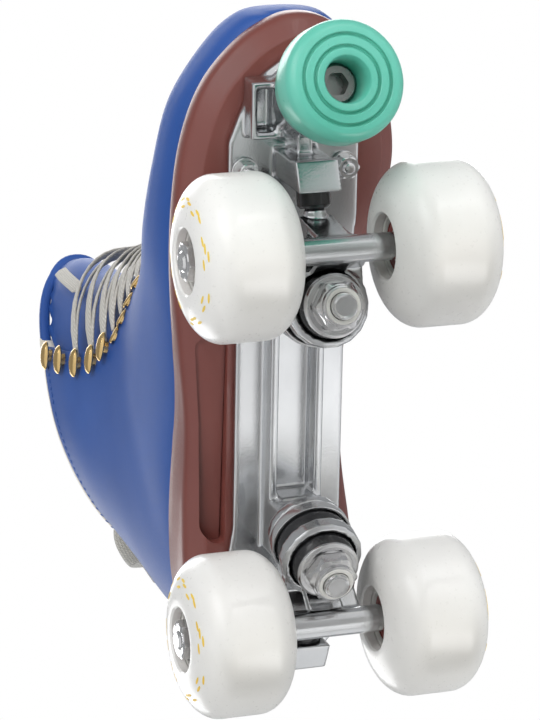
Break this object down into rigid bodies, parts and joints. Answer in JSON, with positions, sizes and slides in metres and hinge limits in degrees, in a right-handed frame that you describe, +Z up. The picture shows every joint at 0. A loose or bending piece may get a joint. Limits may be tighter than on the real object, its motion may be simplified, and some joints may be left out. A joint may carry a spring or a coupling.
{
  "type": "quad roller skate",
  "caption": "High laced boot on a cast metal plate with two sprung steering trucks, soft wheels on bearings and a screw-in toe stop.",
  "frame": {"origin": "on the floor under the middle of the skate, half way between its foremost and rearmost points and on its middle plane", "axes": "+X towards the toe, +Y towards the inner side of the foot, +Z up"},
  "size_m": [0.2778, 0.1202, 0.3272],
  "materials": {
    "moulded_sole": "glossy moulded sole rubber",
    "microfibre": "smooth matte microfibre",
    "lining": "brushed lining",
    "lace": "flat woven lace",
    "webbing": "woven webbing",
    "cast_aluminium": "polished cast aluminium",
    "steel": "bright zinc and chrome",
    "cushion_rubber": "black urethane",
    "toe_stop_rubber": "mint green moulded rubber",
    "wheel_urethane": "white cast urethane",
    "hub_nylon": "white nylon",
    "bearing": "dark red shielded bearing"
  },
  "bodies": {
    "root": {"outsole": "moulded_sole", "upper": "microfibre", "lining": "lining", "tongue": "microfibre", "insole": "lining", "lace": "lace", "pull_loop": "webbing", "plate": "cast_aluminium", "front_left_mounting_bolt": "steel", "front_left_mounting_nut": "steel", "front_right_mounting_bolt": "steel", "front_right_mounting_nut": "steel", "rear_left_mounting_bolt": "steel", "rear_left_mounting_nut": "steel", "rear_right_mounting_bolt": "steel", "rear_right_mounting_nut": "steel", "toe_stop_jam_nut": "steel", "front_kingpin": "steel", "front_kingpin_nut": "steel", "front_upper_cushion": "cushion_rubber", "front_upper_washer": "steel", "front_lower_cushion": "cushion_rubber", "front_lower_washer": "steel", "front_pivot_cup": "cushion_rubber", "rear_kingpin": "steel", "rear_kingpin_nut": "steel", "rear_upper_cushion": "cushion_rubber", "rear_upper_washer": "steel", "rear_lower_cushion": "cushion_rubber", "rear_lower_washer": "steel", "rear_pivot_cup": "cushion_rubber"},
    "toe_stop_unit": {"toe_stop": "toe_stop_rubber", "toe_stop_stem": "steel"},
    "front_truck": {"front_hanger": "cast_aluminium", "front_axle": "steel", "front_left_axle_nut": "steel", "front_right_axle_nut": "steel"},
    "rear_truck": {"rear_hanger": "cast_aluminium", "rear_axle": "steel", "rear_left_axle_nut": "steel", "rear_right_axle_nut": "steel"},
    "front_left_wheel": {"front_left_tyre": "wheel_urethane", "front_left_hub": "hub_nylon", "front_left_inner_bearing": "bearing", "front_left_outer_bearing": "bearing"},
    "front_right_wheel": {"front_right_tyre": "wheel_urethane", "front_right_hub": "hub_nylon", "front_right_inner_bearing": "bearing", "front_right_outer_bearing": "bearing"},
    "rear_left_wheel": {"rear_left_tyre": "wheel_urethane", "rear_left_hub": "hub_nylon", "rear_left_inner_bearing": "bearing", "rear_left_outer_bearing": "bearing"},
    "rear_right_wheel": {"rear_right_tyre": "wheel_urethane", "rear_right_hub": "hub_nylon", "rear_right_inner_bearing": "bearing", "rear_right_outer_bearing": "bearing"}
  },
  "joints": [
    {"name": "toe_stop_adjust", "type": "slide", "parent": "root", "child": "toe_stop_unit", "axis": [0.3584, 0, -0.9336], "range_m": [0, 0.008]},
    {"name": "front_steer", "type": "hinge", "parent": "root", "child": "front_truck", "pos_m": [0.02794, 0, 0.0465], "axis": [0.9659, 0, 0.2588], "range_deg": [-6, 6], "stiffness_Nm_per_rad": 25, "deforming": ["front_upper_cushion", "front_lower_cushion"]},
    {"name": "rear_steer", "type": "hinge", "parent": "root", "child": "rear_truck", "pos_m": [-0.06806, 0, 0.0465], "axis": [-0.9659, 0, 0.2588], "range_deg": [-6, 6], "stiffness_Nm_per_rad": 25, "deforming": ["rear_upper_cushion", "rear_lower_cushion"]},
    {"name": "front_left_spin", "type": "hinge", "parent": "front_truck", "child": "front_left_wheel", "pos_m": [0.05344, 0.0384, 0.031], "axis": [0, 1, 0], "continuous": true},
    {"name": "front_right_spin", "type": "hinge", "parent": "front_truck", "child": "front_right_wheel", "pos_m": [0.05344, -0.0384, 0.031], "axis": [0, 1, 0], "continuous": true},
    {"name": "rear_left_spin", "type": "hinge", "parent": "rear_truck", "child": "rear_left_wheel", "pos_m": [-0.09356, 0.0384, 0.031], "axis": [0, 1, 0], "continuous": true},
    {"name": "rear_right_spin", "type": "hinge", "parent": "rear_truck", "child": "rear_right_wheel", "pos_m": [-0.09356, -0.0384, 0.031], "axis": [0, 1, 0], "continuous": true}
  ]
}
